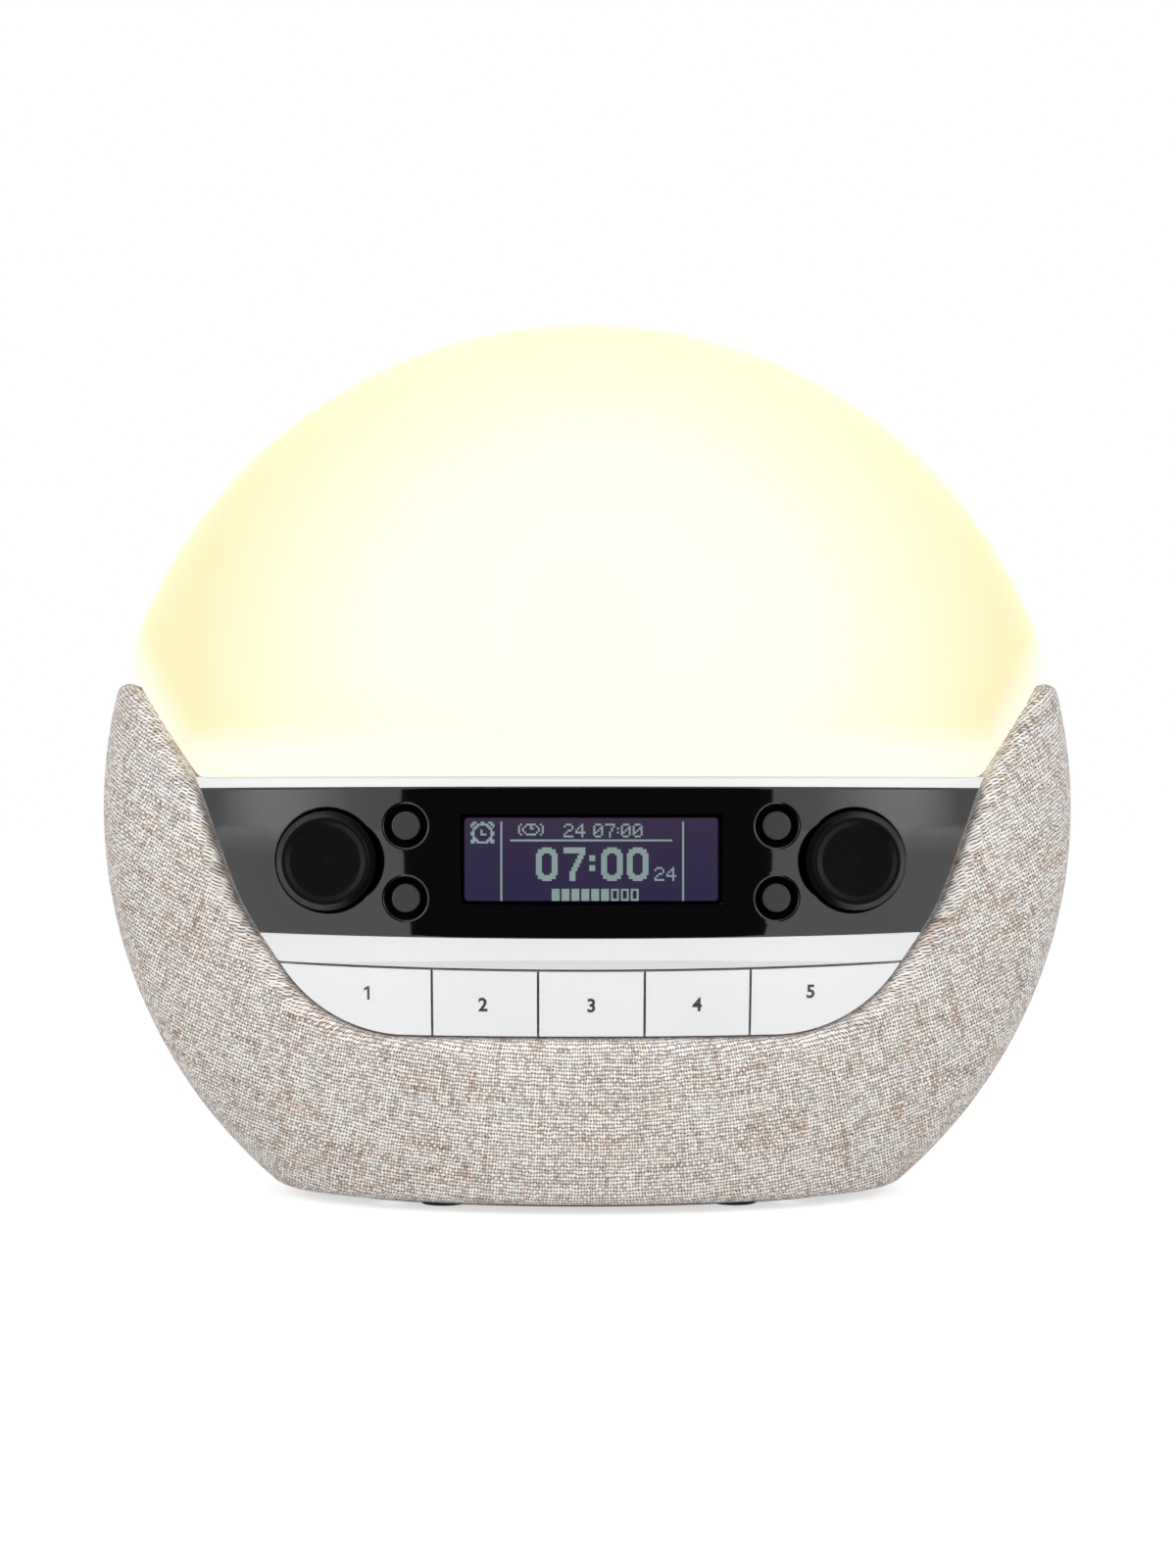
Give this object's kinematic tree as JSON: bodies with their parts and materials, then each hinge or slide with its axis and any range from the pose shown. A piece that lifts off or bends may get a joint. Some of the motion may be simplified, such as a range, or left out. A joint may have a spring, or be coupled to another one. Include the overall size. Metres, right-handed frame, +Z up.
{
  "type": "sunrise alarm clock",
  "caption": "Egg-shaped bedside sunrise clock: glowing opal dome in a fabric-covered cradle, black fascia with display, dials and buttons, and a row of numbered keys below.",
  "frame": {"origin": "centre of the clock's footprint box on the table, at the underside of the rubber feet", "axes": "+Z up, the front with the display faces -Y, +X to the right seen from the front"},
  "size_m": [0.22, 0.1238, 0.1972],
  "materials": {
    "woven_fabric": "plain weave in cream, beige and tan yarns",
    "cradle_plastic": "moulded, unseen under the fabric",
    "dark_plastic": "fine moulded texture",
    "rubber": "matt",
    "white_plastic": "smooth satin",
    "key_white": "smooth satin",
    "black_gloss": "polished",
    "smoked_lens": "polished, dark tinted",
    "display_glass": "smooth",
    "black_matt": "moulded",
    "dial_black": "satin with a fine texture",
    "button_grey": "soft matt",
    "switch_black": "moulded",
    "opal_diffuser": "opal, lit from inside",
    "white_board": "white solder mask on aluminium",
    "led_white": "phosphor under clear resin",
    "circuit_board": "green solder mask",
    "switch_metal": "plated",
    "screw_steel": "zinc plated",
    "magnet": "plated",
    "speaker_paper": "pressed pulp",
    "foam": "open-cell foam",
    "connector_white": "moulded nylon",
    "cable_grey": "PVC"
  },
  "bodies": {
    "housing": {"backup_cell": "switch_metal", "base_plate": "dark_plastic", "base_screws": "screw_steel", "board_chips": "black_matt", "board_connectors": "connector_white", "board_screws": "screw_steel", "capacitors": "switch_metal", "cell_holder": "black_matt", "control_board": "circuit_board", "control_screws": "screw_steel", "cradle_shell": "cradle_plastic", "dc_inlet": "black_matt", "diffuser_dome": "opal_diffuser", "display_holder": "black_matt", "display_module": "display_glass", "display_window": "smoked_lens", "encoders": "switch_metal", "fabric_cover": "woven_fabric", "fascia_panel": "black_gloss", "front_frame": "white_plastic", "led_board": "white_board", "led_cable": "cable_grey", "led_screws": "screw_steel", "leds": "led_white", "light_tray": "white_plastic", "main_board": "circuit_board", "rear_cover": "white_plastic", "rear_screws": "screw_steel", "ribbon_cable": "cable_grey", "rubber_feet": "rubber", "speaker_baskets": "switch_metal", "speaker_cones": "speaker_paper", "speaker_gaskets": "foam", "speaker_magnets": "magnet", "tact_switches": "black_matt", "usb_socket": "switch_metal"},
    "key_1": {"key_1": "key_white", "key_1_plunger": "switch_black"},
    "key_2": {"key_2": "key_white", "key_2_plunger": "switch_black"},
    "key_3": {"key_3": "key_white", "key_3_plunger": "switch_black"},
    "key_4": {"key_4": "key_white", "key_4_plunger": "switch_black"},
    "key_5": {"key_5": "key_white", "key_5_plunger": "switch_black"},
    "left_dial_turning": {"left_dial": "dial_black", "left_dial_shaft": "switch_metal"},
    "left_dial_pushing": {"left_dial_plunger": "switch_metal"},
    "left_lower_button": {"left_lower_button": "button_grey"},
    "left_upper_button": {"left_upper_button": "button_grey"},
    "right_dial_turning": {"right_dial": "dial_black", "right_dial_shaft": "switch_metal"},
    "right_dial_pushing": {"right_dial_plunger": "switch_metal"},
    "right_lower_button": {"right_lower_button": "button_grey"},
    "right_upper_button": {"right_upper_button": "button_grey"}
  },
  "joints": [
    {"name": "key_1_press", "type": "slide", "parent": "housing", "child": "key_1", "axis": [0, 1, 0], "range_m": [0, 0.0008], "stiffness_N_per_m": 300, "springref_m": -0.001},
    {"name": "key_2_press", "type": "slide", "parent": "housing", "child": "key_2", "axis": [0, 1, 0], "range_m": [0, 0.0008], "stiffness_N_per_m": 300, "springref_m": -0.001},
    {"name": "key_3_press", "type": "slide", "parent": "housing", "child": "key_3", "axis": [0, 1, 0], "range_m": [0, 0.0008], "stiffness_N_per_m": 300, "springref_m": -0.001},
    {"name": "key_4_press", "type": "slide", "parent": "housing", "child": "key_4", "axis": [0, 1, 0], "range_m": [0, 0.0008], "stiffness_N_per_m": 300, "springref_m": -0.001},
    {"name": "key_5_press", "type": "slide", "parent": "housing", "child": "key_5", "axis": [0, 1, 0], "range_m": [0, 0.0008], "stiffness_N_per_m": 300, "springref_m": -0.001},
    {"name": "left_lower_button_press", "type": "slide", "parent": "housing", "child": "left_lower_button", "axis": [0, 1, 0], "range_m": [0, 0.0005], "stiffness_N_per_m": 300, "springref_m": -0.001},
    {"name": "left_upper_button_press", "type": "slide", "parent": "housing", "child": "left_upper_button", "axis": [0, 1, 0], "range_m": [0, 0.0005], "stiffness_N_per_m": 300, "springref_m": -0.001},
    {"name": "right_lower_button_press", "type": "slide", "parent": "housing", "child": "right_lower_button", "axis": [0, 1, 0], "range_m": [0, 0.0005], "stiffness_N_per_m": 300, "springref_m": -0.001},
    {"name": "right_upper_button_press", "type": "slide", "parent": "housing", "child": "right_upper_button", "axis": [0, 1, 0], "range_m": [0, 0.0005], "stiffness_N_per_m": 300, "springref_m": -0.001},
    {"name": "left_dial_push", "type": "slide", "parent": "housing", "child": "left_dial_pushing", "axis": [0, 1, 0], "range_m": [0, 0.0005], "stiffness_N_per_m": 400, "springref_m": -0.001},
    {"name": "left_dial_turn", "type": "hinge", "parent": "left_dial_pushing", "child": "left_dial_turning", "pos_m": [-0.055, -0.05, 0.0765], "axis": [0, 1, 0], "continuous": true},
    {"name": "right_dial_push", "type": "slide", "parent": "housing", "child": "right_dial_pushing", "axis": [0, 1, 0], "range_m": [0, 0.0005], "stiffness_N_per_m": 400, "springref_m": -0.001},
    {"name": "right_dial_turn", "type": "hinge", "parent": "right_dial_pushing", "child": "right_dial_turning", "pos_m": [0.055, -0.05, 0.0765], "axis": [0, 1, 0], "continuous": true}
  ]
}
